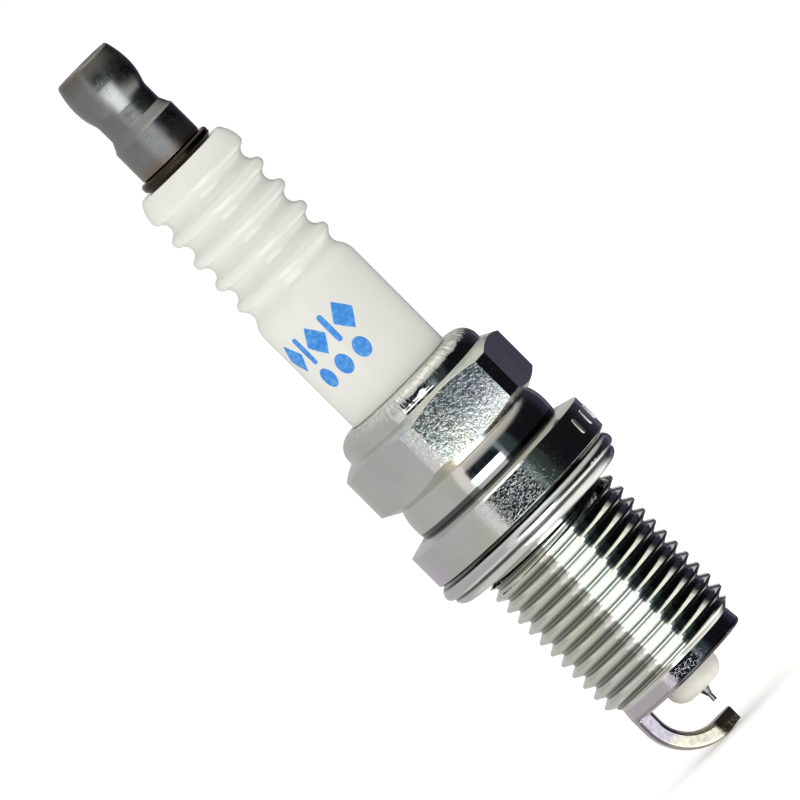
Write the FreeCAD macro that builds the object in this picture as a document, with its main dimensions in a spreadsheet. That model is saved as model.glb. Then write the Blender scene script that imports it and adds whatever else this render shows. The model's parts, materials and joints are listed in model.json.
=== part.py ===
"""Spark plug with an M14 x 1.25 thread, 19 mm reach and 16 mm hexagon, as separate pieces.

Frame: +Z runs along the plug's axis towards the terminal. The origin is the centre of the gasket's
underside, the plane that seats on the cylinder head. Millimetres and degrees.
"""
import FreeCAD, Part
import math
import os
import re
import Sketcher

# Driving dimensions. Radii are from the plug's own axis unless the comment says otherwise.
SIZES = {
    # crush gasket, loose under the flange
    "gasket_height": 2.15,
    "gasket_gap": 0.25,  # free space between gasket and flange
    "gasket_offset": 0.25,  # how far the loose ring hangs to one side
    "gasket_hole": 6.6,
    "gasket_lower_hole": 6.95,  # free edge of the lower leaf
    "gasket_land_start": 7.25,  # inner edge of the flat underside
    "gasket_land_end": 8.1,  # outer edge of the flat underside
    "gasket_lower_roll": 8.95,
    "gasket_lower_roll_level": 0.65,
    "gasket_lower_round": 0.9,
    "gasket_crease": 8.88,
    "gasket_crease_level": 0.82,
    "gasket_ledge": 8.95,
    "gasket_ledge_level": 0.92,
    "gasket_upper_foot": 9.1,
    "gasket_upper_foot_level": 0.99,
    "gasket_upper_roll": 9.4,
    "gasket_upper_roll_level": 1.46,
    "gasket_foot_round": 0.45,
    "gasket_upper_round": 0.81,
    "gasket_sheet": 0.45,  # thickness of the folded steel
    "gasket_fold": 8.25,  # how far out the fold's hollow goes
    # shell, outside
    "reach": 19.0,  # flange underside to the shell's end
    "neck_radius": 6.1,
    "neck_length": 2.75,
    "thread_radius": 6.9,
    "thread_pitch": 1.25,
    "thread_depth": 0.75,
    "thread_start": 17.87,  # depth below the origin where the groove's spiral begins
    "thread_rise": 18.75,  # height the groove's spiral climbs
    "pilot_radius": 6.05,
    "pilot_top": 5.93,  # the pilot narrows a little towards the thread
    "pilot_length": 1.5,
    "flange_radius": 9.35,
    "flange_height": 3.25,
    "flange_bevel": 0.55,  # rise of the flange's sloping top
    "waist_radius": 7.5,
    "waist_belly": 4.9,  # height of its widest place above the flange's underside
    "waist_foot": 7.42,
    "waist_top": 7.15,
    "hex_across": 16.0,
    "hex_corner": 8.85,  # radius that the six corners are turned down to
    "hex_height": 5.6,
    "hex_rise": 6.65,  # flange underside to the hexagon
    "hex_chamfer": 0.8,
    "hex_foot": 7.4,  # radius where both of the hexagon's chamfers end
    "hex_turn": 14.0,  # degrees from +X to a corner
    "lip_radius": 7.35,
    "lip_height": 1.9,
    "lip_round": 1.6,
    "lip_mouth": 0.4,  # how much wider the lip's mouth is than its bore
    "lip_mouth_depth": 0.3,
    "lip_bore_depth": 0.9,  # lower edge of the lip's narrow bore, below the lip's top
    "lip_root_depth": 1.4,
    "edge_break": 0.15,
    "end_round": 0.3,
    # shell, inside
    "body_bore": 6.0,
    "body_bore_floor": 4.8,
    "body_bore_cone": 0.8,
    "tube_bore": 4.75,
    "ledge_bore": 3.75,
    "ledge_end": 5.6,  # depth below the origin
    "ledge_cone": 0.6,
    "gas_bore": 4.2,
    "lip_gap": 0.02,  # between the crimped lip and the insulator
    # insulator, outside
    "nose_stand": 1.9,  # how far the nose stands out of the shell
    "nose_radius": 2.6,
    "nose_round": 1.35,
    "leg_radius": 3.35,
    "core_radius": 4.65,
    "seat_depth": 3.6,  # depth below the origin of the seating cone's upper edge
    "seat_slope": 0.6154,  # fall per unit of radius of the seating cone
    "shoulder_radius": 5.9,
    "shoulder_start": 5.2,
    "shoulder_end": 10.6,
    "shoulder_cone": 1.0,
    "packed_radius": 4.95,  # between the shoulder and the lip
    "barrel_start": 0.1,  # how far above the lip the full barrel begins
    "barrel_radius": 5.15,
    "barrel_end": 26.9,
    "rib_radius": 5.03,
    "rib_round": 0.55,
    "rib_pitch": 2.49,
    "rib_depth": 0.84,
    "first_rib": 29.89,
    "foot_groove": 28.76,  # level of the shallow groove under the ribs
    "foot_groove_radius": 4.5,
    "foot_groove_round": 0.95,
    "insulator_top": 41.7,
    "insulator_top_radius": 4.35,
    # insulator, inside
    "electrode_bore": 1.0,
    "seal_bore": 1.95,
    "seal_floor": 0.15,
    "mouth_chamfer": 0.2,
    # packing between insulator and shell
    "packing_thickness": 0.352,  # measured along the axis
    "packing_inner": 3.85,
    "packing_outer": 4.6,
    "wire_radius": 0.5,
    "lower_wire_level": 11.95,
    "upper_wire_level": 14.8,
    "talc_inset": 0.25,  # how far the talc's faces lie past the wires' centres
    # seals and resistor, stacked in the insulator's bore
    "resistor_start": 4.0,
    "resistor_end": 13.0,
    "upper_seal_end": 19.0,
    # terminal stud
    "stud_start": 14.5,
    "stud_radius": 1.6,
    "stud_ring_radius": 1.78,
    "stud_ring_pitch": 0.8,
    "stud_ring_start": 0.4,  # first ring's lower edge, above the stud's end
    "stud_ring_width": 0.4,
    "stud_ring_slope": 0.16,
    "stud_flange_radius": 3.6,
    "stud_flange_foot": 3.3,
    "stud_flange_height": 0.9,
    "stud_flange_bevel": 0.3,
    "stud_relief": 0.5,
    "stud_thread_radius": 2.0,
    "stud_thread_pitch": 0.7,
    "stud_thread_depth": 0.4,
    "stud_thread_rise": 10.4,
    "stud_top": 52.3,
    # terminal nut, from its own lower face
    "nut_gap": 0.02,  # between nut and stud flange
    "nut_bore": 2.07,
    "nut_mouth": 0.3,
    "nut_skirt_radius": 3.12,
    "nut_skirt_height": 3.38,
    "nut_neck_radius": 2.63,
    "nut_neck_start": 4.18,
    "nut_neck_end": 5.6,
    "nut_neck_round": 1.6,
    "nut_head_radius": 3.07,
    "nut_head_level": 8.0,
    "nut_crown_radius": 2.75,
    "nut_crown_level": 10.25,
    "nut_height": 10.43,
    # centre electrode and its tip
    "electrode_radius": 0.95,
    "electrode_head_radius": 1.75,
    "electrode_head_foot": 0.05,
    "electrode_head_top": 1.0,
    "electrode_cone": 1.1,  # length of the cone inside the nose
    "electrode_nose_radius": 0.5,  # where it leaves the insulator
    "electrode_end_radius": 0.27,
    "electrode_stand": 0.6,
    "core_wire_radius": 0.5,
    "core_wire_end": 15.0,  # depth below the origin
    "core_wire_point": 0.6,
    "tip_radius": 0.21,
    "tip_seat": 0.3,  # depth that the tip is let into the electrode
    "tip_stand": 0.75,  # free length of the tip
    # ground electrode
    "spark_gap": 1.1,
    "strap_thickness": 1.5,
    "strap_width": 2.8,
    "strap_outer_face": 5.95,
    "strap_bend": 3.2,  # inner radius of the bend
    "strap_past_axis": 0.4,
    "strap_taper_length": 1.9,
    "strap_tip_width": 1.2,
    "strap_lift": 0.2,  # how much thinner the underside makes the tip
    "strap_edge": 0.35,
    "strap_turn": 6.0,  # degrees from the -X axis towards -Y that the strap stands
}

HEX_SIDES = 6
RIB_GAPS = 4  # grooves between the insulator's five ribs
STUD_RINGS = 5
SMALLEST_CUT = 0.1  # mm3; a cut that takes less has missed
TOUCH = 1e-6  # mm; closer than this counts as the same place

document = FreeCAD.newDocument("spark_plug")


# ------------------------------------------------------------------ levels worked out from the sizes
FLANGE_BOTTOM = "(gasket_height + gasket_gap)"
SHELL_END = f"({FLANGE_BOTTOM} - reach)"
PILOT_END = f"({SHELL_END} + pilot_length)"
THREAD_TOP = f"({FLANGE_BOTTOM} - neck_length)"
FLANGE_RIM = f"({FLANGE_BOTTOM} + flange_height)"
FLANGE_TOP = f"({FLANGE_RIM} + flange_bevel)"
HEX_BOTTOM = f"({FLANGE_BOTTOM} + hex_rise)"
HEX_TOP = f"({HEX_BOTTOM} + hex_height)"
LIP_TOP = f"({HEX_TOP} + lip_height)"
NOSE_END = f"({SHELL_END} - nose_stand)"
ELECTRODE_END = f"({NOSE_END} - electrode_stand)"
TIP_END = f"({ELECTRODE_END} - tip_stand)"
STRAP_TOP = f"({TIP_END} - spark_gap)"
WIRE_CENTRE = "((packed_radius + body_bore) / 2)"
WAIST_BELLY = f"({FLANGE_BOTTOM} + waist_belly)"
LIP_BORE = "(packed_radius + lip_gap)"
NUT_BASE = "(insulator_top + stud_flange_height + nut_gap)"


def seat_level(radius, drop="0"):
    """Level of the insulator's seating cone at a radius, lowered by drop."""
    return f"(-seat_depth - (core_radius - {radius}) * seat_slope - {drop})"


# ------------------------------------------------------------------ sheet and formulas
def make_sheet():
    sheet = document.addObject("Spreadsheet::Sheet", "dims")
    for row, (name, size) in enumerate(SIZES.items(), start=1):
        sheet.set(f"A{row}", name)
        sheet.set(f"B{row}", str(size))
        sheet.setAlias(f"B{row}", name)
    document.recompute()
    return sheet


def bound(formula):
    """The formula with each size read from the sheet."""
    return re.sub(r"[a-z_]+", lambda word: _cell(word.group()), formula)


def _cell(word):
    return f"dims.{word}" if word in SIZES else word


def value(formula):
    return float(sheet.evalExpression(bound(formula)))


def bind(item, field, formula):
    item.setExpression(field, bound(formula))


# ------------------------------------------------------------------ sketches and bodies
def new_body(name):
    body = document.addObject("PartDesign::Body", name)
    body.Label = name
    return body


def origin_item(body, role):
    return next(item for item in body.Origin.OriginFeatures if item.Role == role)


def new_sketch(body, name, plane):
    sketch = body.newObject("Sketcher::SketchObject", name)
    sketch.AttachmentSupport = [(origin_item(body, plane), "")]
    sketch.MapMode = "FlatFace"
    return sketch


def arc_geometry(start, end, radius, turns_left):
    """Short arc from start to end. Sketch arcs run anticlockwise, so a right-hand one is stored reversed."""
    if not turns_left:
        start, end = end, start
    chord = end - start
    height = math.sqrt(max(radius**2 - (chord.Length / 2) ** 2, 0))
    left = FreeCAD.Vector(-chord.y, chord.x, 0).normalize()
    centre = start + chord / 2 + left * height
    first = math.atan2(start.y - centre.y, start.x - centre.x)
    last = math.atan2(end.y - centre.y, end.x - centre.x)
    return Part.ArcOfCircle(Part.Circle(centre, FreeCAD.Vector(0, 0, 1), radius), first, last)


def fix_coordinate(sketch, kind, axis, side, point, formula, name):
    """Tie one coordinate of a point to its formula, or lay the point on the axis when that is zero."""
    size = value(formula)
    if abs(size) < TOUCH:
        sketch.addConstraint(Sketcher.Constraint("PointOnObject", side, point, axis))
        return
    index = sketch.addConstraint(Sketcher.Constraint(kind, -1, 1, side, point, size))
    sketch.renameConstraint(index, name)
    bind(sketch, f"Constraints.{name}", formula)


def draw(sketch, corners):
    """Draw a closed outline. A corner is (across, up), and ("left" or "right", radius) after it makes the
    side that leaves it an arc."""
    points = [FreeCAD.Vector(value(corner[0]), value(corner[1]), 0) for corner in corners]
    ends = []
    for side, corner in enumerate(corners):
        start, end = points[side], points[(side + 1) % len(points)]
        if len(corner) == 2:
            sketch.addGeometry(Part.LineSegment(start, end))
            ends.append((1, 2))
            continue
        turns_left = corner[2] == "left"
        sketch.addGeometry(arc_geometry(start, end, value(corner[3]), turns_left))
        ends.append((1, 2) if turns_left else (2, 1))
    for side in range(len(corners)):
        following = (side + 1) % len(corners)
        meet = Sketcher.Constraint("Coincident", side, ends[side][1], following, ends[following][0])
        sketch.addConstraint(meet)
    for side, corner in enumerate(corners):
        fix_coordinate(sketch, "DistanceX", -2, side, ends[side][0], corner[0], f"across{side}")
        fix_coordinate(sketch, "DistanceY", -1, side, ends[side][0], corner[1], f"up{side}")
        if len(corner) == 4:
            index = sketch.addConstraint(Sketcher.Constraint("Radius", side, value(corner[3])))
            sketch.renameConstraint(index, f"bend{side}")
            bind(sketch, f"Constraints.bend{side}", corner[3])


def turned(name, corners):
    """A body turned about the plug's axis from a half section given as (radius, level) corners."""
    body = new_body(name)
    section = new_sketch(body, f"{name}_section", "XZ_Plane")
    draw(section, corners)
    document.recompute()
    turning = body.newObject("PartDesign::Revolution", f"{name}_turned")
    turning.Profile = section
    turning.ReferenceAxis = (origin_item(body, "Z_Axis"), [""])
    turning.Angle = 360
    document.recompute()
    return body


def swell(radius, level, next_radius, next_level, first_round):
    """Two tangent arcs from one extreme of a wavy outline to the next one above it, as two corners."""
    step = f"abs({next_radius} - {radius})"
    rise = f"({next_level} - {level})"
    turn = f"(2 * atan({step} / {rise}))"
    both_rounds = f"({rise} / sin({turn}))"
    outwards = value(next_radius) > value(radius)
    sign, first_way, second_way = ("+", "right", "left") if outwards else ("-", "left", "right")
    middle = f"({radius} {sign} {first_round} * (1 - cos({turn})))"
    middle_level = f"({level} + {first_round} * sin({turn}))"
    return [
        (radius, level, first_way, first_round),
        (middle, middle_level, second_way, f"({both_rounds} - {first_round})"),
    ]


def crown_radius(step, rise):
    """Radius of an arc that leaves upright and moves in by step over a rise."""
    return f"(({step})^2 + ({rise})^2) / (2 * ({step}))"


def cut_thread(body, name, radius, pitch, depth, start, rise):
    """Cut a right-hand 60 degree groove with a flat root. Its spiral starts on the +X side at level start."""
    root = f"({radius} - {depth})"
    brow = f"({radius} + {depth} / 4)"
    root_half = f"({pitch} / 16)"
    brow_half = f"({root_half} + ({brow} - {root}) * tan(30))"
    groove = new_sketch(body, f"{name}_groove", "XZ_Plane")
    corners = [
        (root, f"{start} - {root_half}"),
        (brow, f"{start} - {brow_half}"),
        (brow, f"{start} + {brow_half}"),
        (root, f"{start} + {root_half}"),
    ]
    draw(groove, corners)
    document.recompute()
    before = body.Shape.Volume
    spiral = body.newObject("PartDesign::SubtractiveHelix", name)
    spiral.Profile = groove
    spiral.ReferenceAxis = (origin_item(body, "Z_Axis"), [""])
    spiral.Mode = "pitch-height-angle"
    bind(spiral, "Pitch", pitch)
    bind(spiral, "Height", rise)
    document.recompute()
    check_cut(body, name, before)


def check_cut(body, name, before):
    if not body.Shape.Volume < before - SMALLEST_CUT:
        raise RuntimeError(f"{name} cut nothing")


# ------------------------------------------------------------------ shell and gasket
def make_shell():
    lower_waist = crown_radius("waist_radius - waist_foot", f"{WAIST_BELLY} - {FLANGE_TOP}")
    upper_waist = crown_radius("waist_radius - waist_top", f"{HEX_BOTTOM} - {WAIST_BELLY}")
    shell = turned(
        "shell",
        [
            ("gas_bore", SHELL_END),
            ("pilot_radius - end_round", SHELL_END, "left", "end_round"),
            ("pilot_radius", f"{SHELL_END} + end_round"),
            ("pilot_top", PILOT_END),
            ("thread_radius", f"{PILOT_END} + thread_radius - pilot_top"),
            ("thread_radius", f"{THREAD_TOP} - thread_depth / 2"),
            ("neck_radius", THREAD_TOP),
            ("neck_radius", FLANGE_BOTTOM),
            ("flange_radius - edge_break", FLANGE_BOTTOM),
            ("flange_radius", f"{FLANGE_BOTTOM} + edge_break"),
            ("flange_radius", FLANGE_RIM),
            ("waist_foot", FLANGE_TOP, "left", lower_waist),
            ("waist_radius", WAIST_BELLY, "left", upper_waist),
            ("waist_top", HEX_BOTTOM),
            ("hex_foot", HEX_BOTTOM),
            ("hex_corner", f"{HEX_BOTTOM} + hex_chamfer"),
            ("hex_corner", f"{HEX_TOP} - hex_chamfer"),
            ("lip_radius", HEX_TOP),
            ("lip_radius", f"{LIP_TOP} - lip_round", "left", "lip_round"),
            ("lip_radius - lip_round", LIP_TOP),
            (f"{LIP_BORE} + lip_mouth", LIP_TOP),
            (LIP_BORE, f"{LIP_TOP} - lip_mouth_depth"),
            (LIP_BORE, f"{LIP_TOP} - lip_bore_depth"),
            ("body_bore", f"{LIP_TOP} - lip_root_depth"),
            ("body_bore", "body_bore_floor"),
            ("tube_bore", "body_bore_floor - body_bore_cone"),
            ("tube_bore", seat_level("tube_bore", "packing_thickness")),
            ("ledge_bore", seat_level("ledge_bore", "packing_thickness")),
            ("ledge_bore", "-ledge_end"),
            ("gas_bore", "-ledge_end - ledge_cone"),
        ],
    )
    cut_hexagon(shell)
    cut_thread(
        shell,
        "shell_thread",
        "thread_radius",
        "thread_pitch",
        "thread_depth",
        "-thread_start",
        "thread_rise",
    )
    return shell


def cut_hexagon(shell):
    """Mill the six flats: everything outside the hexagon goes, between its two chamfers."""
    waste = new_sketch(shell, "hexagon_waste", "XY_Plane")
    bind(waste, "AttachmentOffset.Base.z", HEX_TOP)
    corner = "hex_across / (2 * cos(30))"
    turns = [f"(hex_turn + {360 // HEX_SIDES * side})" for side in range(HEX_SIDES)]
    draw(waste, [(f"{corner} * cos{turn}", f"{corner} * sin{turn}") for turn in turns])
    rim = waste.addGeometry(Part.Circle(FreeCAD.Vector(), FreeCAD.Vector(0, 0, 1), 2 * value("hex_corner")))
    waste.addConstraint(Sketcher.Constraint("Coincident", rim, 3, -1, 1))
    size = waste.addConstraint(Sketcher.Constraint("Radius", rim, 2 * value("hex_corner")))
    waste.renameConstraint(size, "rim")
    bind(waste, "Constraints.rim", "2 * hex_corner")
    document.recompute()
    before = shell.Shape.Volume
    flats = shell.newObject("PartDesign::Pocket", "hexagon_flats")
    flats.Profile = waste
    bind(flats, "Length", "hex_height")
    document.recompute()
    check_cut(shell, "hexagon_flats", before)


def make_gasket():
    """Steel ring folded from sheet, open on the inside. It is loose, so it hangs a little towards -X."""
    gasket = turned(
        "gasket",
        [
            ("gasket_lower_hole", "edge_break"),
            ("gasket_land_start", "0"),
            ("gasket_land_end", "0", "left", "gasket_lower_round"),
            ("gasket_lower_roll", "gasket_lower_roll_level"),
            ("gasket_crease", "gasket_crease_level"),
            ("gasket_ledge", "gasket_ledge_level"),
            ("gasket_upper_foot", "gasket_upper_foot_level", "left", "gasket_foot_round"),
            ("gasket_upper_roll", "gasket_upper_roll_level", "left", "gasket_upper_round"),
            ("gasket_upper_roll - gasket_sheet", "gasket_height"),
            ("gasket_hole", "gasket_height"),
            ("gasket_hole", "gasket_height - gasket_sheet"),
            ("gasket_fold", "gasket_height - gasket_sheet"),
            ("gasket_fold + edge_break", "gasket_height / 2"),
            ("gasket_fold", "gasket_sheet"),
            ("gasket_lower_hole", "gasket_sheet"),
        ],
    )
    bind(gasket, "Placement.Base.x", "-gasket_offset")
    return gasket


# ------------------------------------------------------------------ insulator and its packing
def make_insulator():
    lower = [
        ("electrode_bore", f"{NOSE_END} + edge_break"),
        ("electrode_bore + edge_break", NOSE_END),
        ("nose_radius - nose_round", NOSE_END, "left", "nose_round"),
        ("nose_radius", f"{NOSE_END} + nose_round"),
        ("leg_radius", seat_level("leg_radius")),
        ("core_radius", seat_level("core_radius")),
        ("core_radius", "shoulder_start - shoulder_cone"),
        ("shoulder_radius", "shoulder_start"),
        ("shoulder_radius", "shoulder_end"),
        ("packed_radius", "shoulder_end + shoulder_radius - packed_radius"),
        ("packed_radius", f"{LIP_TOP} + barrel_start - (barrel_radius - packed_radius)"),
        ("barrel_radius", f"{LIP_TOP} + barrel_start"),
    ]
    foot_step = "(barrel_radius - foot_groove_radius)"
    foot_rise = "(foot_groove - barrel_end)"
    foot_turn = f"(2 * atan({foot_step} / {foot_rise}))"
    barrel_round = f"({foot_rise} / sin({foot_turn}) - foot_groove_round)"
    waves = swell("barrel_radius", "barrel_end", "foot_groove_radius", "foot_groove", barrel_round)
    waves += swell("foot_groove_radius", "foot_groove", "rib_radius", "first_rib", "foot_groove_round")
    groove_radius = "(rib_radius - rib_depth)"
    groove_turn = "(2 * atan(2 * rib_depth / rib_pitch))"
    groove_round = f"(rib_pitch / 2 / sin({groove_turn}) - rib_round)"
    for rib in range(RIB_GAPS):
        crest = f"(first_rib + rib_pitch * {rib})"
        groove = f"(first_rib + rib_pitch * {rib + 0.5})"
        next_crest = f"(first_rib + rib_pitch * {rib + 1})"
        waves += swell("rib_radius", crest, groove_radius, groove, "rib_round")
        waves += swell(groove_radius, groove, "rib_radius", next_crest, groove_round)
    top_rib = f"(first_rib + rib_pitch * {RIB_GAPS})"
    crown = crown_radius("rib_radius - insulator_top_radius", f"insulator_top - {top_rib}")
    upper = [
        ("rib_radius", top_rib, "left", crown),
        ("insulator_top_radius", "insulator_top"),
        ("seal_bore + mouth_chamfer", "insulator_top"),
        ("seal_bore", "insulator_top - mouth_chamfer"),
        ("seal_bore", "seal_floor"),
        ("electrode_bore", "seal_floor - (seal_bore - electrode_bore)"),
    ]
    return turned("insulator", lower + waves + upper)


def make_seat_packing():
    return turned(
        "seat_packing",
        [
            ("packing_inner", seat_level("packing_inner", "packing_thickness")),
            ("packing_outer", seat_level("packing_outer", "packing_thickness")),
            ("packing_outer", seat_level("packing_outer")),
            ("packing_inner", seat_level("packing_inner")),
        ],
    )


def make_wire_ring(name, level):
    ring = document.addObject("Part::Torus", name)
    ring.Label = name
    bind(ring, "Radius1", WIRE_CENTRE)
    bind(ring, "Radius2", "wire_radius")
    bind(ring, "Placement.Base.z", level)
    document.recompute()
    return ring


def make_talc(lower_ring, upper_ring):
    """Powder rammed between the two wire rings, so its ends take their shape."""
    block = turned(
        "talc_block",
        [
            ("packed_radius", "lower_wire_level + talc_inset"),
            ("body_bore", "lower_wire_level + talc_inset"),
            ("body_bore", "upper_wire_level - talc_inset"),
            ("packed_radius", "upper_wire_level - talc_inset"),
        ],
    )
    return cut_away("talc_filling", block, [lower_ring, upper_ring])


def cut_away(name, block, tools):
    """What is left of a block around other pieces."""
    gathered = tools[0]
    if len(tools) > 1:
        gathered = document.addObject("Part::MultiFuse", f"{name}_tools")
        gathered.Shapes = tools
    rest = document.addObject("Part::Cut", name)
    rest.Label = name
    rest.Base = block
    rest.Tool = gathered
    document.recompute()
    if not rest.Shape.Volume < block.Shape.Volume - SMALLEST_CUT:
        raise RuntimeError(f"{name} lost nothing to its neighbours")
    return rest


def bore_filling(name, start, end):
    """A round block that fills the insulator's wide bore between two levels."""
    block = document.addObject("Part::Cylinder", name)
    block.Label = name
    bind(block, "Radius", "seal_bore")
    bind(block, "Height", f"{end} - {start}")
    bind(block, "Placement.Base.z", start)
    document.recompute()
    return block


# ------------------------------------------------------------------ terminal
def make_stud():
    """Steel stud: ringed foot held in the glass, plain shank, flange, and an M4 thread for the nut."""
    rings = []
    for ring in range(STUD_RINGS):
        foot = f"(stud_start + stud_ring_start + stud_ring_pitch * {ring})"
        rings += [
            ("stud_ring_radius", foot),
            ("stud_ring_radius", f"{foot} + stud_ring_width"),
            ("stud_radius - edge_break", f"{foot} + stud_ring_width + stud_ring_slope"),
        ]
    last_ring = f"stud_start + stud_ring_start + stud_ring_pitch * {STUD_RINGS}"
    flange_top = "(insulator_top + stud_flange_height)"
    foot = [
        ("0", "stud_start"),
        ("stud_radius - edge_break", "stud_start"),
    ]
    head = [
        ("stud_radius", f"{last_ring} + stud_ring_slope"),
        ("stud_radius", "insulator_top"),
        ("stud_flange_foot", "insulator_top"),
        ("stud_flange_radius", "insulator_top + stud_flange_bevel"),
        ("stud_flange_radius", f"{flange_top} - edge_break"),
        ("stud_flange_radius - edge_break", flange_top),
        ("stud_thread_radius - stud_thread_depth", flange_top),
        ("stud_thread_radius - stud_thread_depth", f"{flange_top} + stud_relief / 2"),
        ("stud_thread_radius", f"{flange_top} + stud_relief"),
        ("stud_thread_radius", "stud_top - stud_thread_depth"),
        ("stud_thread_radius - stud_thread_depth", "stud_top"),
        ("0", "stud_top"),
    ]
    stud = turned("terminal_stud", foot + rings + head)
    cut_thread(
        stud,
        "stud_thread",
        "stud_thread_radius",
        "stud_thread_pitch",
        "stud_thread_depth",
        f"{flange_top} + stud_relief",
        "stud_thread_rise",
    )
    return stud


def make_terminal_nut():
    neck_to_head = swell(
        "nut_neck_radius",
        "nut_neck_end",
        "nut_head_radius",
        "nut_head_level",
        "nut_neck_round",
    )
    crown = crown_radius("nut_head_radius - nut_crown_radius", "nut_crown_level - nut_head_level")
    nut = turned(
        "terminal_nut",
        [
            ("nut_bore + nut_mouth", "0"),
            ("nut_skirt_radius - edge_break", "0"),
            ("nut_skirt_radius", "edge_break"),
            ("nut_skirt_radius", "nut_skirt_height - edge_break"),
            ("nut_skirt_radius - edge_break", "nut_skirt_height + edge_break / 2"),
            ("nut_neck_radius", "nut_neck_start"),
            *neck_to_head,
            ("nut_head_radius", "nut_head_level", "left", crown),
            ("nut_crown_radius", "nut_crown_level"),
            ("nut_crown_radius - edge_break", "nut_height"),
            ("nut_bore + nut_mouth", "nut_height"),
            ("nut_bore", "nut_height - nut_mouth"),
            ("nut_bore", "nut_mouth"),
        ],
    )
    bind(nut, "Placement.Base.z", NUT_BASE)
    return nut


# ------------------------------------------------------------------ electrodes
def make_center_electrode():
    """Nickel sheath: head that hangs on the insulator's step, long shank, and a cone that ends outside."""
    step_slope = "(electrode_head_radius - electrode_radius)"
    return turned(
        "center_electrode",
        [
            ("0", f"{ELECTRODE_END} + tip_seat"),
            ("tip_radius", f"{ELECTRODE_END} + tip_seat"),
            ("tip_radius", ELECTRODE_END),
            ("electrode_end_radius", ELECTRODE_END),
            ("electrode_nose_radius", NOSE_END),
            ("electrode_radius", f"{NOSE_END} + electrode_cone"),
            ("electrode_radius", f"electrode_head_foot - {step_slope}"),
            ("electrode_head_radius", "electrode_head_foot"),
            ("electrode_head_radius", "electrode_head_top"),
            ("core_wire_radius", "electrode_head_top"),
            ("core_wire_radius", "-core_wire_end"),
            ("0", "-core_wire_end - core_wire_point"),
        ],
    )


def make_electrode_core():
    return turned(
        "center_electrode_core",
        [
            ("0", "-core_wire_end - core_wire_point"),
            ("core_wire_radius", "-core_wire_end"),
            ("core_wire_radius", "electrode_head_top"),
            ("0", "electrode_head_top"),
        ],
    )


def make_iridium_tip():
    tip = document.addObject("Part::Cylinder", "iridium_tip")
    tip.Label = "iridium_tip"
    bind(tip, "Radius", "tip_radius")
    bind(tip, "Height", "tip_stand + tip_seat")
    bind(tip, "Placement.Base.z", TIP_END)
    document.recompute()
    return tip


def make_ground_electrode():
    """Nickel strap welded to the shell's end, bent over the tip, and cut to a narrow end."""
    strap = new_body("ground_electrode")
    side_view = new_sketch(strap, "strap_side", "XZ_Plane")
    inner_face = "(-strap_outer_face + strap_thickness)"
    bend_start = f"({STRAP_TOP} + strap_bend)"
    bend_end = f"({inner_face} + strap_bend)"
    underside = f"({STRAP_TOP} - strap_thickness)"
    draw(
        side_view,
        [
            ("-strap_outer_face", SHELL_END),
            ("-strap_outer_face", bend_start, "left", "strap_bend + strap_thickness"),
            (bend_end, underside),
            ("strap_past_axis", underside),
            ("strap_past_axis", STRAP_TOP),
            (bend_end, STRAP_TOP, "right", "strap_bend"),
            (inner_face, bend_start),
            (inner_face, SHELL_END),
        ],
    )
    document.recompute()
    bar = strap.newObject("PartDesign::Pad", "strap_bar")
    bar.Profile = side_view
    bar.SideType = "Symmetric"
    bind(bar, "Length", "strap_width")
    document.recompute()
    round_strap_edges(strap, bar)
    thin_strap_end(strap, bend_end, underside)
    cut_strap_taper(strap)
    bind(strap, "Placement.Rotation.Angle", "strap_turn")
    document.recompute()
    return strap


def round_strap_edges(strap, bar):
    """Round the strap's long edges: those that lie in one of its two sides and run along it."""
    half_width = value("strap_width") / 2
    shell_end = value(SHELL_END)
    tip = value("strap_past_axis")
    names = []
    for number, edge in enumerate(bar.Shape.Edges, start=1):
        box = edge.BoundBox
        in_side = box.YLength < TOUCH and abs(abs(box.YMin) - half_width) < TOUCH
        at_root = abs(box.ZMin - shell_end) < TOUCH
        at_tip = abs(box.XMin - tip) < TOUCH
        if in_side and not at_root and not at_tip:
            names.append(f"Edge{number}")
    rounding = strap.newObject("PartDesign::Fillet", "strap_edges")
    rounding.Base = (bar, names)
    bind(rounding, "Radius", "strap_edge")
    document.recompute()


def thin_strap_end(strap, bend_end, underside):
    """Slope the underside up towards the tip."""
    wedge = new_sketch(strap, "strap_wedge", "XZ_Plane")
    corners = [
        (bend_end, f"{underside} - strap_lift"),
        ("2 * strap_past_axis", f"{underside} - strap_lift"),
        ("2 * strap_past_axis", f"{underside} + strap_lift"),
        (bend_end, underside),
    ]
    draw(wedge, corners)
    document.recompute()
    before = strap.Shape.Volume
    cut = strap.newObject("PartDesign::Pocket", "strap_underside")
    cut.Profile = wedge
    cut.SideType = "Symmetric"
    bind(cut, "Length", "2 * strap_width")
    document.recompute()
    check_cut(strap, "strap_underside", before)


def cut_strap_taper(strap):
    """Cut both sides of the end to a taper, seen from above."""
    half = "(strap_width / 2)"
    tip_half = "(strap_tip_width / 2)"
    taper_start = "(strap_past_axis - strap_taper_length)"
    beyond = "(strap_past_axis + strap_taper_length)"
    beyond_half = f"(2 * {tip_half} - {half})"
    for name, sign in (("taper_far", ""), ("taper_near", "-")):
        plan = new_sketch(strap, f"{name}_plan", "XY_Plane")
        bind(plan, "AttachmentOffset.Base.z", f"{STRAP_TOP} + strap_edge")
        corners = [
            (taper_start, f"{sign}{half}"),
            (beyond, f"{sign}{beyond_half}"),
            (beyond, f"{sign}strap_width"),
            (taper_start, f"{sign}strap_width"),
        ]
        draw(plan, corners)
        document.recompute()
        before = strap.Shape.Volume
        cut = strap.newObject("PartDesign::Pocket", name)
        cut.Profile = plan
        bind(cut, "Length", "2 * strap_thickness")
        document.recompute()
        check_cut(strap, name, before)


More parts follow.
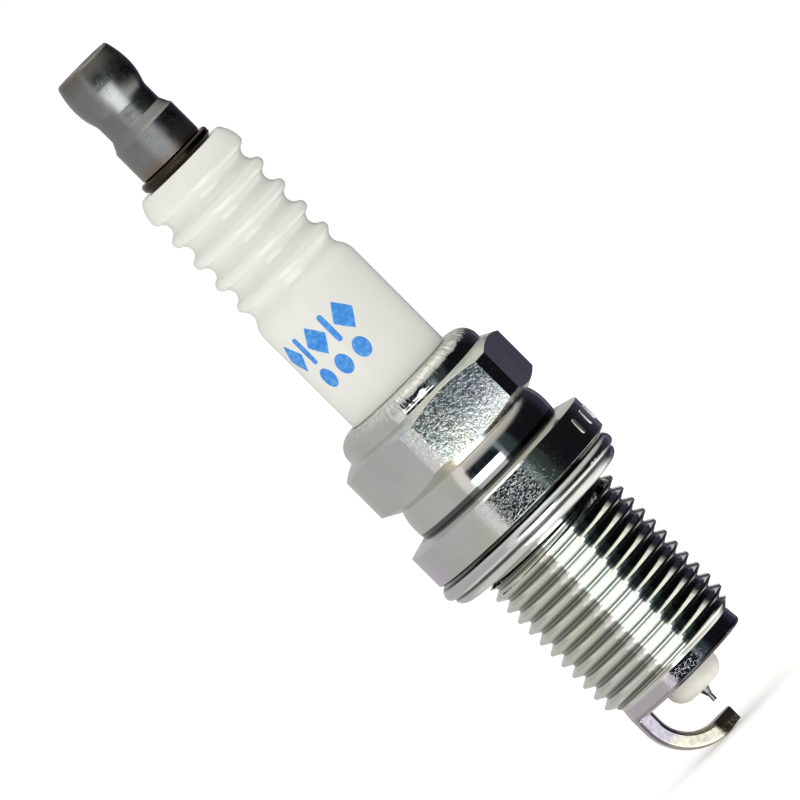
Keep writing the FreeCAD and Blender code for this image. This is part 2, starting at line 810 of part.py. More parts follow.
# ------------------------------------------------------------------ assembly
def make_all():
    """Every sub-part in its place."""
    stud = make_stud()
    electrode = make_center_electrode()
    core = make_electrode_core()
    lower_ring = make_wire_ring("lower_wire_ring", "lower_wire_level")
    upper_ring = make_wire_ring("upper_wire_ring", "upper_wire_level")
    upper_block = bore_filling("upper_seal_block", "resistor_end", "upper_seal_end")
    lower_block = bore_filling("lower_seal_block", "seal_floor", "resistor_start")
    return [
        make_terminal_nut(),
        stud,
        make_insulator(),
        cut_away("upper_glass_seal", upper_block, [stud]),
        bore_filling("resistor", "resistor_start", "resistor_end"),
        cut_away("lower_glass_seal", lower_block, [electrode, core]),
        electrode,
        core,
        make_iridium_tip(),
        make_shell(),
        upper_ring,
        make_talc(lower_ring, upper_ring),
        lower_ring,
        make_seat_packing(),
        make_gasket(),
        make_ground_electrode(),
    ]


def check(parts):
    for item in document.Objects:
        if "Invalid" in item.State or "Error" in item.State:
            raise RuntimeError(f"{item.Name} failed: {item.State}")
    for part in parts:
        if part.Shape.isNull() or not part.Shape.isValid():
            raise RuntimeError(f"{part.Label} has no valid shape")
        if len(part.Shape.Solids) != 1:
            raise RuntimeError(f"{part.Label} is {len(part.Shape.Solids)} solids")


def write(parts):
    os.makedirs("parts", exist_ok=True)
    for part in parts:
        part.Shape.exportStep(os.path.join("parts", f"{part.Label}.step"))
        print(f"{part.Label}: {part.Shape.Volume:.2f} mm3")


sheet = make_sheet()
PARTS = make_all()
document.recompute()
check(PARTS)
write(PARTS)
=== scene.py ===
"""Looks of the spark plug: materials, small surface pieces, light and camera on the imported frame.

Everything is in the frame's own axes: +Z towards the terminal, the origin under the gasket.
"""

import json
import math
import random

import bpy
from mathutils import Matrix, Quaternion, Vector


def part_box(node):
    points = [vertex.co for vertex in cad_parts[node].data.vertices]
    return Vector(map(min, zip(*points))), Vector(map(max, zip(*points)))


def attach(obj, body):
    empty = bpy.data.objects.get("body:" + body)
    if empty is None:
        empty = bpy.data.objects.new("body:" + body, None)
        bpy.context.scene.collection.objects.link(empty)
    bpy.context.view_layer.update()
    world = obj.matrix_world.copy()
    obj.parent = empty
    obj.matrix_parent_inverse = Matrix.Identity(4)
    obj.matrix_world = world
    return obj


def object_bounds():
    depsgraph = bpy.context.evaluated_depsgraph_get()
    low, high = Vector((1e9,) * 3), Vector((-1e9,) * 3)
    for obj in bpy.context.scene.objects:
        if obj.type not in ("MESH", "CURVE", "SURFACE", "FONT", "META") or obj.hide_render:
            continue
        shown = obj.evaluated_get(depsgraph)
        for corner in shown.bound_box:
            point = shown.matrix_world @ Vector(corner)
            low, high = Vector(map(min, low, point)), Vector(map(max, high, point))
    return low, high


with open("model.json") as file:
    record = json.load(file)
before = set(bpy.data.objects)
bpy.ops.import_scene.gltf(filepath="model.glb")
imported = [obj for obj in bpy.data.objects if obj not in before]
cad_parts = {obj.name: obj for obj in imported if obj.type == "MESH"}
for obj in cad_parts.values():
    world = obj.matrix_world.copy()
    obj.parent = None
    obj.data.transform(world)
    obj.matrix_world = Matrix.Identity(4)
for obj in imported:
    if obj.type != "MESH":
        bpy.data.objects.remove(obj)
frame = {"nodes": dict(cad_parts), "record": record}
cad_low, cad_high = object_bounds()

MM = 0.001
NODES = frame["nodes"]
MOUNTS = {mount["name"]: mount for mount in frame["record"]["mounts"]}
CAMERA_SIDE = -90.0  # direction that the photographer stands in, in degrees from +X


# ------------------------------------------------------------------ node graphs
def paint(red, green, blue):
    """Linear colour from display values of 0 to 255."""
    shares = (channel / 255 for channel in (red, green, blue))
    linear = [s / 12.92 if s <= 0.04045 else ((s + 0.055) / 1.055) ** 2.4 for s in shares]
    return (*linear, 1.0)


class Graph:
    """A node tree, with short ways to add nodes and join them."""

    def __init__(self, tree):
        self.tree = tree

    def add(self, kind, inputs=(), **settings):
        node = self.tree.nodes.new(kind)
        for name, setting in settings.items():
            setattr(node, name, setting)
        for socket, entry in dict(inputs).items():
            self.feed(node.inputs[socket], entry)
        return node

    def feed(self, socket, entry):
        if isinstance(entry, bpy.types.NodeSocket):
            self.tree.links.new(entry, socket)
        else:
            socket.default_value = entry

    def math(self, operation, *entries):
        node = self.add("ShaderNodeMath", enumerate(entries), operation=operation)
        return node.outputs[0]

    def vector(self, operation, first, second=None, scale=None):
        node = self.add("ShaderNodeVectorMath", {0: first}, operation=operation)
        if second is not None:
            self.feed(node.inputs[1], second)
        if scale is not None:
            self.feed(node.inputs["Scale"], scale)
        return node.outputs["Value" if operation == "DOT_PRODUCT" else "Vector"]

    def ramp(self, entry, low, high, start=0.0, end=1.0):
        """Smooth change from start to end while the entry goes from low to high."""
        inputs = {"Value": entry, "From Min": low, "From Max": high, "To Min": start, "To Max": end}
        node = self.add("ShaderNodeMapRange", inputs, interpolation_type="SMOOTHSTEP")
        return node.outputs["Result"]

    def band(self, entry, low, high, edge):
        """1 between low and high, and 0 outside, over soft edges."""
        rise = self.ramp(entry, low - edge, low + edge)
        fall = self.ramp(entry, high - edge, high + edge, 1.0, 0.0)
        return self.math("MULTIPLY", rise, fall)

    def both(self, first, second):
        return self.math("MULTIPLY", first, second)

    def mix(self, share, first, second):
        inputs = {0: share, 6: first, 7: second}
        return self.add("ShaderNodeMix", inputs, data_type="RGBA").outputs[2]

    def blend_numbers(self, share, first, second):
        inputs = {0: share, 2: first, 3: second}
        return self.add("ShaderNodeMix", inputs, data_type="FLOAT").outputs[0]


class Surface(Graph):
    """A material in the making. Places are in millimetres in the row frame."""

    def __init__(self, name, metallic=0.0):
        self.material = bpy.data.materials.new(name)
        self.material.use_nodes = True
        super().__init__(self.material.node_tree)
        self.shader = self.tree.nodes["Principled BSDF"]
        self.set("Metallic", metallic)
        place = self.add("ShaderNodeTexCoord").outputs["Object"]
        self.place = self.vector("SCALE", place, scale=1 / MM)
        split = self.add("ShaderNodeSeparateXYZ", {0: self.place})
        self.x, self.y, self.z = split.outputs
        self.radius = self.math("SQRT", self.math("ADD", self.square(self.x), self.square(self.y)))
        self.turn = self.math("ARCTAN2", self.x, self.math("MULTIPLY", self.y, -1.0))

    def set(self, socket, entry):
        self.feed(self.shader.inputs[socket], entry)

    def square(self, entry):
        return self.math("MULTIPLY", entry, entry)

    def stretched(self, across, along):
        """The place with its own scale across the axis and along it."""
        return self.vector("MULTIPLY", self.place, (across, across, along))

    def noise(self, scale, detail=2.0, roughness=0.5, place=None, warp=0.0):
        inputs = {"Vector": place or self.place, "Scale": scale, "Detail": detail}
        inputs.update({"Roughness": roughness, "Distortion": warp})
        return self.add("ShaderNodeTexNoise", inputs).outputs[0]

    def cells(self, scale, place=None):
        """Distance to the nearest edge between cells."""
        inputs = {"Vector": place or self.place, "Scale": scale}
        node = self.add("ShaderNodeTexVoronoi", inputs, feature="DISTANCE_TO_EDGE")
        return node.outputs["Distance"]

    def relief(self, height, depth_mm, below=None):
        """Bump of a height field of 0 to 1, this many millimetres deep."""
        inputs = {"Height": height, "Distance": depth_mm * MM, "Strength": 1.0}
        if below is not None:
            inputs["Normal"] = below
        return self.add("ShaderNodeBump", inputs).outputs[0]

    def lean(self, where, level, slope, below=None):
        """Tilt of upright walls about a level: downwards for a slope above 0, where a mask is 1."""
        rise = self.math("SUBTRACT", self.z, level)
        return self.relief(self.both(rise, where), slope, below)

    # Painted shade: mixes the colour towards near black where the mask is 1.
    def darken(self, colour, where, share, shade=(0.03, 0.03, 0.028, 1.0)):
        return self.mix(self.both(where, share), colour, shade)

    def finish(self, colour, roughness, normal=None):
        self.set("Base Color", colour)
        self.set("Roughness", roughness)
        if normal is not None:
            self.set("Normal", normal)
        return self.material


def levels(*names):
    """Lowest and highest level of CAD nodes, in millimetres."""
    boxes = [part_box(name) for name in names]
    return min(low.z for low, _ in boxes) / MM, max(high.z for _, high in boxes) / MM


SHELL_END, LIP_TOP = levels("shell")
GASKET_TOP = levels("gasket")[1]
HEX_LEVEL = MOUNTS["hex_drive"]["pos_m"][2] / MM
BARREL_RADIUS = MOUNTS["insulator_barrel"]["dims"]["r_mm"]
PILOT_TOP = SHELL_END + 1.5  # top of the plain end below the thread
WAIST_FOOT = 6.2
FLANGE_RADIUS = 9.35
FLANGE_RIM = 5.65
FLANGE_BOTTOM = 2.4
FLANGE_MIDDLE = (FLANGE_RIM + FLANGE_BOTTOM) / 2
HEX_HALF = 2.8  # half the height of the hexagon's flats
WHITE = (1.0, 1.0, 1.0, 1.0)


# ------------------------------------------------------------------ materials
def ceramic():
    """White glazed alumina, with a bare, ivory nose."""
    skin = Surface("insulator_glaze")
    glazed = skin.ramp(skin.z, SHELL_END + 0.6, SHELL_END + 1.4)
    cloud = skin.noise(0.22, 3.0)
    speck = skin.ramp(skin.noise(5.5, 2.0), 0.7, 0.76)
    white = skin.mix(cloud, paint(238, 238, 232), paint(231, 231, 224))
    white = skin.mix(skin.both(speck, 0.22), white, paint(186, 184, 168))
    bare = skin.mix(skin.noise(1.4, 4.0), paint(250, 249, 240), paint(240, 237, 224))
    colour = skin.mix(glazed, bare, white)
    roughness = skin.blend_numbers(glazed, 0.5, skin.ramp(cloud, 0.3, 0.7, 0.1, 0.17))
    ripple = skin.relief(skin.noise(0.9, 2.0), 0.006)
    grain = skin.math("MULTIPLY", skin.noise(14.0, 3.0), skin.math("SUBTRACT", 1.0, glazed))
    skin.set("Coat Weight", 0.25)
    skin.set("Coat Roughness", 0.06)
    return skin.finish(colour, roughness, skin.relief(grain, 0.012, ripple))


def plated_film(skin):
    """Bright zinc with the faint green, straw and lilac drift of its passivation film."""
    drift = skin.noise(0.16, 2.0, place=skin.stretched(1.0, 0.6))
    other = skin.noise(0.12, 2.0, place=skin.vector("ADD", skin.place, (31.0, 7.0, 13.0)))
    silver = paint(224, 224, 221)
    green = skin.mix(skin.ramp(drift, 0.35, 0.6), paint(211, 217, 208), silver)
    straw = skin.mix(skin.ramp(other, 0.5, 0.7), green, paint(228, 224, 208))
    return skin.mix(skin.ramp(other, 0.5, 0.3), straw, paint(220, 213, 225))


def plating_colour(skin, thread, pilot):
    """Film, lighter on the thread, lilac on the plain end, with painted shade in corners, thread
    roots and at the shell's end.
    """
    colour = plated_film(skin)
    colour = skin.mix(skin.both(thread, 0.75), colour, paint(240, 242, 234))
    # Painted shade: the thread roots darkened towards near black.
    root = skin.both(thread, skin.ramp(skin.radius, 6.36, 6.2))
    root = skin.both(root, skin.ramp(skin.z, PILOT_TOP, PILOT_TOP + 0.4))
    colour = skin.darken(colour, root, 0.6)
    # Painted shade: a dark band in the corner where the waist meets the flange's top.
    foot = skin.band(skin.z, WAIST_FOOT - 0.1, WAIST_FOOT + 0.42, 0.07)
    foot = skin.both(foot, skin.ramp(skin.radius, 8.3, 7.7))
    colour = skin.darken(colour, foot, 0.85)
    # Painted shade: a near-black band in the gap between the flange's underside and the gasket.
    gap_shade = skin.band(skin.z, GASKET_TOP - 0.3, GASKET_TOP + 0.2, 0.05)
    gap_shade = skin.both(gap_shade, skin.ramp(skin.radius, 7.0, 7.2))
    colour = skin.darken(colour, gap_shade, 0.97)
    colour = skin.mix(skin.both(pilot, 0.7), colour, paint(208, 200, 211))
    # Painted shade: the shell's rounded end darkened, more strongly on one side, where it would
    # mirror the white floor.
    edge = skin.ramp(skin.z, SHELL_END + 0.45, SHELL_END + 0.3)
    end_shade_strength = skin.ramp(skin.turn, -0.35, -0.15, 0.35, 0.95)
    colour = skin.darken(colour, edge, end_shade_strength)
    bore = skin.ramp(skin.radius, 4.6, 5.0, 1.0, 0.0)
    return skin.mix(bore, colour, paint(120, 116, 108))


def pulled_grain(skin):
    """Uneven grain with fine creases in it."""
    peel = skin.noise(2.6, 3.0, 0.58, warp=0.7)
    creases = skin.ramp(skin.cells(2.4, skin.vector("ADD", skin.place, peel)), 0.0, 0.2)
    return skin.math("ADD", peel, skin.both(creases, 0.3))


def crimp_relief(skin, below):
    """Folds and dents that crimping leaves on the lip."""
    crimp = skin.ramp(skin.z, LIP_TOP - 1.7, LIP_TOP - 0.3)
    around = skin.add("ShaderNodeCombineXYZ", {0: skin.turn}).outputs[0]
    folds = skin.noise(1.0, 3.0, 0.6, place=skin.vector("SCALE", around, scale=14.0))
    dents = skin.noise(0.7, 2.0, 0.5, warp=0.6)
    folded = skin.relief(skin.both(folds, crimp), 0.2, below)
    return skin.relief(skin.both(dents, crimp), 0.22, folded)


def plating_relief(skin, thread, hexagon, rim, pilot):
    """Grain on hexagon, rim and plain end, slight leans and swells, turning lines, crimp."""
    patches = skin.ramp(skin.noise(0.14, 1.0), 0.35, 0.6, 0.5, 1.0)
    fainter = skin.both(skin.math("ADD", rim, pilot), 0.5)
    grainy = skin.math("ADD", skin.both(hexagon, patches), fainter)
    normal = skin.relief(skin.both(pulled_grain(skin), grainy), 0.016)
    normal = skin.lean(thread, 0.0, 0.052, normal)
    normal = skin.lean(rim, FLANGE_MIDDLE, -0.035, normal)
    lip_swell = skin.ramp(skin.z, LIP_TOP - 1.3, LIP_TOP - 0.5)
    normal = skin.relief(lip_swell, 0.025, normal)
    height = skin.math("DIVIDE", skin.math("SUBTRACT", skin.z, HEX_LEVEL), HEX_HALF)
    crown = skin.both(hexagon, skin.math("SUBTRACT", 1.0, skin.square(height)))
    normal = skin.relief(crown, 0.08, normal)
    turning_lines = skin.noise(1.0, 3.0, 0.6, place=skin.stretched(0.25, 9.0))
    normal = skin.relief(turning_lines, 0.0022, normal)
    return crimp_relief(skin, normal)


def plating():
    """The shell's plating: drawn grain on the flats, turning marks, thread and crimped lip."""
    skin = Surface("shell_plating", metallic=1.0)
    thread = skin.ramp(skin.z, -0.9, 0.2, 1.0, 0.0)
    hexagon = skin.band(skin.z, HEX_LEVEL - HEX_HALF, HEX_LEVEL + HEX_HALF, 0.25)
    rim = skin.band(skin.z, FLANGE_BOTTOM, FLANGE_RIM, 0.2)
    pilot = skin.ramp(skin.z, PILOT_TOP, PILOT_TOP - 0.3)
    colour = plating_colour(skin, thread, pilot)
    normal = plating_relief(skin, thread, hexagon, rim, pilot)
    dull = skin.ramp(skin.noise(3.0, 4.0, 0.6), 0.3, 0.75, 0.07, 0.16)
    roughness = skin.blend_numbers(thread, dull, skin.both(dull, 0.7))
    return skin.finish(colour, roughness, normal)


def gasket_steel():
    """Bright sheet steel, with painted shade in the fold's crease and where it meets the flange."""
    skin = Surface("gasket_steel", metallic=1.0)
    colour = skin.mix(skin.noise(0.5, 2.0), paint(212, 217, 208), paint(222, 219, 224))
    # Painted shade: the fold's crease darkened towards near black.
    crease = skin.band(skin.z, 0.74, 0.96, 0.05)
    colour = skin.darken(colour, crease, 0.85)
    # Painted shade: a dark line along the top, where the gasket meets the flange.
    edge = skin.ramp(skin.z, GASKET_TOP - 0.2, GASKET_TOP - 0.08)
    colour = skin.darken(colour, edge, 0.97)
    lines = skin.noise(1.0, 3.0, 0.6, place=skin.stretched(0.2, 8.0))
    scuffs = skin.ramp(skin.noise(2.2, 4.0, 0.65), 0.35, 0.8, 0.12, 0.3)
    return skin.finish(colour, scuffs, skin.relief(lines, 0.006))


def dark_steel():
    """Blackened terminal nut: soft sheen, fine pitting, an olive top and a brown lower edge."""
    skin = Surface("terminal_steel", metallic=1.0)
    foot, head = levels("terminal_nut")
    cloud = skin.noise(0.55, 4.0, 0.6)
    colour = skin.mix(cloud, paint(134, 134, 132), paint(160, 160, 158))
    top = skin.ramp(skin.z, head - 2.0, head - 0.3)
    colour = skin.mix(skin.both(top, 0.5), colour, paint(104, 98, 82))
    brown = skin.both(skin.ramp(skin.z, foot + 1.2, foot), skin.noise(1.4, 3.0))
    colour = skin.mix(brown, colour, paint(140, 110, 76))
    pits = skin.ramp(skin.noise(9.0, 2.0), 0.66, 0.74)
    colour = skin.mix(skin.both(pits, 0.6), colour, paint(58, 56, 50))
    roughness = skin.ramp(cloud, 0.3, 0.7, 0.24, 0.36)
    rings = skin.noise(1.0, 2.0, place=skin.stretched(0.3, 6.0))
    normal = skin.relief(pits, -0.012, skin.relief(rings, 0.006))
    return skin.finish(colour, roughness, normal)


def metal(name, light, dark, shine, dull, grain=4.0):
    """A plain metal: two tones, uneven gloss, and fine marks round the piece."""
    skin = Surface(name, metallic=1.0)
    colour = skin.mix(skin.noise(0.9, 3.0, 0.55), light, dark)
    roughness = skin.ramp(skin.noise(grain, 3.0), 0.3, 0.7, shine, dull)
    marks = skin.noise(grain, 2.0, place=skin.stretched(0.3, 6.0))
    return skin.finish(colour, roughness, skin.relief(marks, 0.003))


def powder(name, light, dark, grain, depth, roughness):
    """A pressed or fused granular filling."""
    skin = Surface(name)
    colour = skin.mix(skin.noise(grain, 3.0, 0.6), light, dark)
    specks = skin.ramp(skin.noise(grain * 2.5, 1.0), 0.62, 0.7)
    colour = skin.mix(skin.both(specks, 0.5), colour, dark)
    return skin.finish(colour, roughness, skin.relief(skin.cells(grain * 1.5), depth))


def strap_alloy():
    """Ground electrode: brushed nickel alloy, lilac foot, cream bend, sooty end."""
    skin = Surface("strap_nickel", metallic=1.0)
    low, high = levels("ground_electrode")
    colour = skin.mix(skin.noise(0.8, 3.0), paint(156, 149, 156), paint(140, 133, 141))
    heat = skin.ramp(skin.z, low + 3.3, low + 2.6)
    colour = skin.mix(skin.both(heat, 0.8), colour, paint(174, 167, 148))
    root = skin.ramp(skin.z, high - 0.5, high)
    colour = skin.mix(skin.both(root, 0.5), colour, paint(168, 160, 150))
    ragged = skin.math("ADD", skin.x, skin.both(skin.noise(1.6, 3.0), 0.6))
    end = skin.ramp(ragged, -1.35, -1.0)
    flecks = skin.ramp(skin.noise(3.6, 4.0, 0.65), 0.4, 0.66)
    flecks = skin.both(flecks, skin.ramp(skin.z, low + 1.0, low + 0.4))
    soot = skin.mix(flecks, paint(30, 28, 22), paint(140, 132, 110))
    colour = skin.mix(skin.both(end, 0.93), colour, soot)
    skin.set("Metallic", skin.math("SUBTRACT", 1.0, skin.both(end, 0.6)))
    roughness = skin.ramp(skin.noise(2.4, 4.0, 0.6), 0.3, 0.7, 0.06, 0.16)
    brushed = skin.noise(2.0, 2.0, place=skin.vector("MULTIPLY", skin.place, (0.5, 3.0, 0.5)))
    normal = skin.lean(1.0, low, 0.018, skin.relief(brushed, 0.0015))
    return skin.finish(colour, roughness, normal)


def ink():
    """Blue print on the glaze, thinner in places."""
    skin = Surface("insulator_print")
    cover = skin.noise(2.6, 4.0, 0.62)
    colour = skin.mix(skin.ramp(cover, 0.35, 0.7), paint(42, 132, 222), paint(92, 168, 236))
    return skin.finish(colour, 0.32, skin.relief(cover, 0.004))


MATERIALS = {
    "insulator": ceramic(),
    "shell": plating(),
    "gasket": gasket_steel(),
    "terminal_nut": dark_steel(),
    "ground_electrode": strap_alloy(),
    "terminal_stud": metal("stud_steel", paint(80, 73, 62), paint(50, 44, 37), 0.16, 0.3),
    "center_electrode": metal(
        "electrode_nickel", paint(150, 148, 144), paint(116, 112, 108), 0.2, 0.34),
    "center_electrode_core": metal(
        "core_copper", paint(214, 140, 104), paint(190, 112, 78), 0.22, 0.4),
    "iridium_tip": metal("tip_iridium", paint(196, 196, 200), paint(160, 160, 166), 0.2, 0.32, 8.0),
    "upper_wire_ring": metal("wire_steel", paint(178, 178, 176), paint(140, 140, 138), 0.25, 0.4),
    "seat_packing": metal("packing_steel", paint(186, 184, 180), paint(150, 146, 140), 0.3, 0.45),
    "resistor": powder("resistor_glass", paint(92, 88, 84), paint(44, 42, 40), 3.0, 0.01, 0.55),
    "upper_glass_seal": powder(
        "seal_glass", paint(128, 92, 74), paint(70, 56, 50), 2.2, 0.006, 0.25),
    "talc_filling": powder(
        "talc_powder", paint(226, 222, 212), paint(196, 190, 178), 3.4, 0.02, 0.9),
}
MATERIALS["lower_wire_ring"] = MATERIALS["upper_wire_ring"]
MATERIALS["lower_glass_seal"] = MATERIALS["upper_glass_seal"]
for node_name, cad_object in NODES.items():
    for material_slot in cad_object.material_slots:
        material_slot.material = MATERIALS[node_name]


# ------------------------------------------------------------------ small surface pieces
def new_piece(name, corners, faces, material, smooth=True):
    mesh = bpy.data.meshes.new(name)
    mesh.from_pydata(corners, [], faces)
    mesh.polygons.foreach_set("use_smooth", [smooth] * len(faces))
    mesh.update()
    piece = bpy.data.objects.new(name, mesh)
    bpy.context.scene.collection.objects.link(piece)
    mesh.materials.append(material)
    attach(piece, "plug")
    return piece


def rounded_unit(across, up, roundness):
    """A point of the square from -1 to 1, moved towards the disc by roundness of 0 to 1."""
    disc_across = across * math.sqrt(1 - up * up / 2)
    disc_up = up * math.sqrt(1 - across * across / 2)
    keep = 1 - roundness
    return across * keep + disc_across * roundness, up * keep + disc_up * roundness


def wrapped_patch(corners, faces, centre, half_size, roundness, lozenge=False,
                  wall=BARREL_RADIUS, film=0.012):
    """One flat shape wrapped round a wall: centre and half size in millimetres of arc and level."""
    steps = 10
    side = steps + 1
    sunk = 0.004
    first = len(corners)
    for layer in (0, 1):
        spread = 1 - 0.04 * layer
        radius = wall - sunk + film * layer
        for row in range(side):
            for column in range(side):
                across, up = rounded_unit(2 * column / steps - 1, 2 * row / steps - 1, roundness)
                if lozenge:
                    across, up = (across + up) / 2, (up - across) / 2
                turn = (centre[0] + across * half_size[0] * spread) / wall
                level = centre[1] + up * half_size[1] * spread
                spot = (radius * math.sin(turn), -radius * math.cos(turn), level)
                corners.append([place * MM for place in spot])
    top = first + side * side
    for row in range(steps):
        for column in range(steps):
            at = top + row * side + column
            faces.append((at, at + 1, at + side + 1, at + side))
    rim = list(range(steps))
    rim += [row * side + steps for row in range(steps)]
    rim += [steps * side + column for column in range(steps, 0, -1)]
    rim += [row * side for row in range(steps, 0, -1)]
    for here, there in zip(rim, rim[1:] + rim[:1]):
        faces.append((first + here, first + there, top + there, top + here))


def make_print():
    """Generic blue mark: a row of lozenges and strokes over a row of ovals."""
    upper_row, lower_row = 24.0, 21.1
    start, pitch = -5.5, 3.12
    oval_start, oval_pitch = -4.1, 2.05
    corners, faces = [], []
    for item in range(3):
        centre = (start + pitch * item, upper_row)
        wrapped_patch(corners, faces, centre, (1.1, 1.5), 0.1, lozenge=True)
    for item in range(2):
        centre = (start + pitch * (item + 0.5), upper_row)
        wrapped_patch(corners, faces, centre, (0.27, 1.4), 0.3)
    for item in range(3):
        centre = (oval_start + oval_pitch * item, lower_row)
        wrapped_patch(corners, faces, centre, (0.72, 0.95), 1.0)
    return new_piece("insulator_print", corners, faces, ink())


def make_ticks():
    """Generic strokes standing a little proud of the flange's rim."""
    start, pitch = 57.0, 13.0  # degrees round the rim from the photographer's side
    level = FLANGE_MIDDLE + 0.1
    corners, faces = [], []
    for item in range(6):
        centre = (FLANGE_RADIUS * math.radians(start + pitch * item), level)
        wrapped_patch(corners, faces, centre, (0.22, 0.75), 0.4, wall=FLANGE_RADIUS, film=0.07)
    worn = metal("stroke_steel", paint(236, 236, 232), paint(216, 216, 212), 0.34, 0.48)
    return new_piece("flange_ticks", corners, faces, worn, smooth=False)


def tube(path, radii, sides=12):
    """Mesh of a closed ring tube through the points of a path, with a radius at each."""
    corners, faces = [], []
    count = len(path)
    for index, centre in enumerate(path):
        ahead = (path[(index + 1) % count] - path[index - 1]).normalized()
        out = ahead.cross(Vector((0, 0, 1))).normalized()
        up = out.cross(ahead)
        for side in range(sides):
            angle = 2 * math.pi * side / sides
            offset = out * math.cos(angle) + up * math.sin(angle)
            corners.append(centre + offset * radii[index])
    for index in range(count):
        for side in range(sides):
            here, there = index * sides, (index + 1) % count * sides
            after = (side + 1) % sides
            faces.append((here + side, here + after, there + after, there + side))
    return corners, faces


def lumpy(count, size, unevenness, seed):
    """Radii round a weld bead: a smooth, seeded unevenness about a size."""
    dice = random.Random(seed)
    waves = [(dice.randint(3, 11), dice.uniform(0, 2 * math.pi)) for _ in range(5)]
    radii = []
    for index in range(count):
        angle = 2 * math.pi * index / count
        swell = sum(math.sin(angle * turns + shift) for turns, shift in waves) / len(waves)
        radii.append(size * (1 + unevenness * swell))
    return radii


def make_strap_weld():
    """Fused bead round the root of the ground electrode, on the shell's end."""
    half_thick, half_wide = 0.7, 1.36
    centre_out = -5.14
    strap_turn = math.radians(6.0)
    squareness = 1.35
    steps = 64
    path = []
    for index in range(steps):
        angle = 2 * math.pi * index / steps
        x = centre_out + max(-1, min(1, squareness * math.cos(angle))) * half_thick
        y = max(-1, min(1, squareness * math.sin(angle))) * half_wide
        turned_x = x * math.cos(strap_turn) - y * math.sin(strap_turn)
        turned_y = x * math.sin(strap_turn) + y * math.cos(strap_turn)
        path.append(Vector((turned_x, turned_y, SHELL_END - 0.02)) * MM)
    radii = [radius * MM for radius in lumpy(steps, 0.13, 0.3, seed=4)]
    corners, faces = tube(path, radii)
    bead = metal("weld_bead", paint(204, 200, 206), paint(150, 144, 150), 0.18, 0.36)
    return new_piece("strap_weld", corners, faces, bead)


def make_tip_weld():
    """Laser-fused ring where the fine tip enters the electrode's end."""
    electrode_end = levels("center_electrode")[0]
    ring_radius = 0.235
    steps = 40
    path = []
    for index in range(steps):
        angle = 2 * math.pi * index / steps
        x, y = ring_radius * math.cos(angle), ring_radius * math.sin(angle)
        path.append(Vector((x, y, electrode_end)) * MM)
    radii = [radius * MM for radius in lumpy(steps, 0.07, 0.2, seed=9)]
    corners, faces = tube(path, radii)
    return new_piece("tip_weld", corners, faces, MATERIALS["center_electrode"])


make_print()
make_ticks()
make_strap_weld()
make_tip_weld()


# ------------------------------------------------------------------ studio
FRONT_BOX = (-112.0, -61.0)  # azimuths that the bright box below the camera spans
DARK_MIDDLE = -15.0  # azimuth of the middle of the dark side
LIGHT_SIZE = 0.5
LIGHTS = (  # name, azimuth and elevation in degrees, distance in metres, watts
    ("key", -130.0, 24.0, 0.6, 0.64),
    ("fill", -20.0, 15.0, 0.7, 0.57),
    ("top", -90.0, 72.0, 0.7, 0.35),
    ("back", 120.0, 45.0, 0.7, 0.35),
)


def direction(azimuth, elevation):
    a, e = math.radians(azimuth), math.radians(elevation)
    return Vector((math.cos(e) * math.cos(a), math.cos(e) * math.sin(a), math.sin(e)))


def night_side(sky, azimuth):
    """Dark side of the studio, with faint lilac and teal tones in places."""
    lilac = (0.035, 0.032, 0.055, 1.0)
    night = sky.mix(sky.ramp(azimuth, 25.0, 50.0), (0.008, 0.008, 0.011, 1.0), lilac)
    tones = (  # left and right azimuth, soft edge, colour
        (60.0, 72.0, 3.0, (0.14, 0.125, 0.19, 1.0)),
        (*FRONT_BOX, 3.0, (0.009, 0.015, 0.021, 1.0)),
        (-58.0, -36.0, 4.0, (0.04, 0.055, 0.06, 1.0)),
        (-61.5, -54.0, 1.5, (0.2, 0.25, 0.28, 1.0)),
    )
    for left, right, edge, tone in tones:
        night = sky.mix(sky.band(azimuth, left, right, edge), night, tone)
    return night


def pale_side(sky, azimuth, elevation, side):
    """Pale wall of the studio, with its ceiling and the white table below."""
    near_front = sky.band(azimuth, -127.0, -110.0, 2.0)
    wall = sky.mix(near_front, paint(193, 192, 191), paint(240, 235, 242))
    ceiling = sky.both(sky.ramp(elevation, 26.0, 34.0), sky.blend_numbers(side, 0.25, 1.0))
    overhead = sky.ramp(elevation, 42.0, 62.0)
    overhead = sky.mix(overhead, paint(224, 224, 220), (1.2, 1.2, 1.16, 1.0))
    table = sky.mix(side, paint(226, 226, 222), (1.25, 1.25, 1.2, 1.0))
    return sky.mix(sky.ramp(elevation, -26.0, -36.0), sky.mix(ceiling, wall, overhead), table)


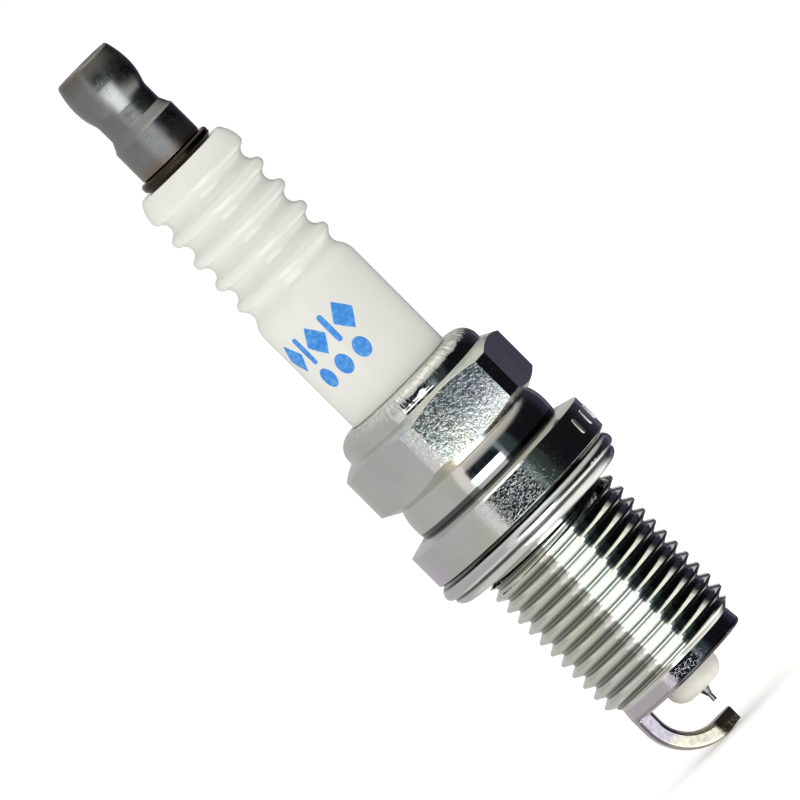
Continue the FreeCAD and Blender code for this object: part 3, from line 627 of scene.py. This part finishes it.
def make_world():
    """White backdrop, and a studio that the metal mirrors: pale, with a dark side on the right."""
    world = bpy.data.worlds.new("studio")
    world.use_nodes = True
    bpy.context.scene.world = world
    sky = Graph(world.node_tree)
    look = sky.add("ShaderNodeTexCoord").outputs["Generated"]
    x, y, z = sky.add("ShaderNodeSeparateXYZ", {0: look}).outputs
    azimuth = sky.math("MULTIPLY", sky.math("ARCTAN2", y, x), 180 / math.pi)
    elevation = sky.math("MULTIPLY", sky.math("ARCSINE", z), 180 / math.pi)
    from_middle = sky.math("ABSOLUTE", sky.math("SUBTRACT", azimuth, DARK_MIDDLE))
    side = sky.ramp(from_middle, 95.0, 98.0, 1.0, 0.0)
    dark = sky.both(side, sky.band(elevation, -24.0, 18.0, 4.0))
    colour = sky.mix(dark, pale_side(sky, azimuth, elevation, side), night_side(sky, azimuth))
    front = sky.both(sky.band(azimuth, *FRONT_BOX, 1.5), sky.band(elevation, -85.0, -5.8, 0.9))
    colour = sky.mix(front, colour, (2.85, 3.0, 3.08, 1.0))
    strip = sky.both(sky.band(azimuth, 10.0, 20.0, 2.0), sky.band(elevation, -45.0, -20.0, 2.0))
    colour = sky.mix(strip, colour, (1.0, 1.0, 1.03, 1.0))
    backdrop = sky.add("ShaderNodeLightPath").outputs["Is Camera Ray"]
    colour = sky.mix(backdrop, colour, WHITE)
    background = world.node_tree.nodes["Background"]
    sky.feed(background.inputs["Color"], colour)
    sky.feed(background.inputs["Strength"], 1.0)


def make_light(name, azimuth, elevation, distance, watts):
    """Soft square light that faces the plug. The metal mirrors the studio instead of it."""
    lamp = bpy.data.lights.new(name, "AREA")
    lamp.size = LIGHT_SIZE
    lamp.energy = watts
    stand = bpy.data.objects.new(name, lamp)
    stand.location = direction(azimuth, elevation) * distance
    stand.rotation_euler = direction(azimuth, elevation).to_track_quat("Z", "Y").to_euler()
    stand.visible_glossy = False
    stand.visible_camera = False
    bpy.context.scene.collection.objects.link(stand)


def make_floor():
    """Plain pale round floor just under the ground electrode."""
    level = cad_low.z - 0.0001
    reach, sides = 1.6, 64
    turns = [2 * math.pi * side / sides for side in range(sides)]
    corners = [(reach * math.cos(turn), reach * math.sin(turn), level) for turn in turns]
    mesh = bpy.data.meshes.new("floor")
    mesh.from_pydata(corners, [], [range(sides)])
    floor = bpy.data.objects.new("floor", mesh)
    bpy.context.scene.collection.objects.link(floor)
    skin = Surface("floor_paper")
    colour = skin.mix(skin.noise(0.02, 2.0), paint(246, 246, 245), paint(242, 242, 241))
    skin.set("Emission Color", WHITE)
    skin.set("Emission Strength", 0.35)
    skin.set("Specular IOR Level", 0.0)
    mesh.materials.append(skin.finish(colour, 0.9))
    floor.visible_glossy = False


def make_camera():
    """Long lens on the -Y side, a little above, rolled so that the terminal points up and left."""
    lens, sensor = 1000.0, 36.0
    frame_width = 64.9  # millimetres that the picture spans at the plug
    lift, roll = 3.5, 45.0
    data = bpy.data.cameras.new("camera")
    data.lens = lens
    data.sensor_width = sensor
    data.clip_end = 100.0
    camera = bpy.data.objects.new("camera", data)
    bpy.context.scene.collection.objects.link(camera)
    target = Vector((-0.89, 0.0, 15.54)) * MM
    back = direction(CAMERA_SIDE, lift)
    camera.location = target + back * (frame_width * MM * lens / sensor)
    camera.rotation_mode = "QUATERNION"
    upright = back.to_track_quat("Z", "Y")
    camera.rotation_quaternion = upright @ Quaternion((0, 0, 1), math.radians(-roll))
    bpy.context.scene.camera = camera


make_world()
make_floor()
for light in LIGHTS:
    make_light(*light)
make_camera()
bpy.context.scene.view_settings.view_transform = "Standard"
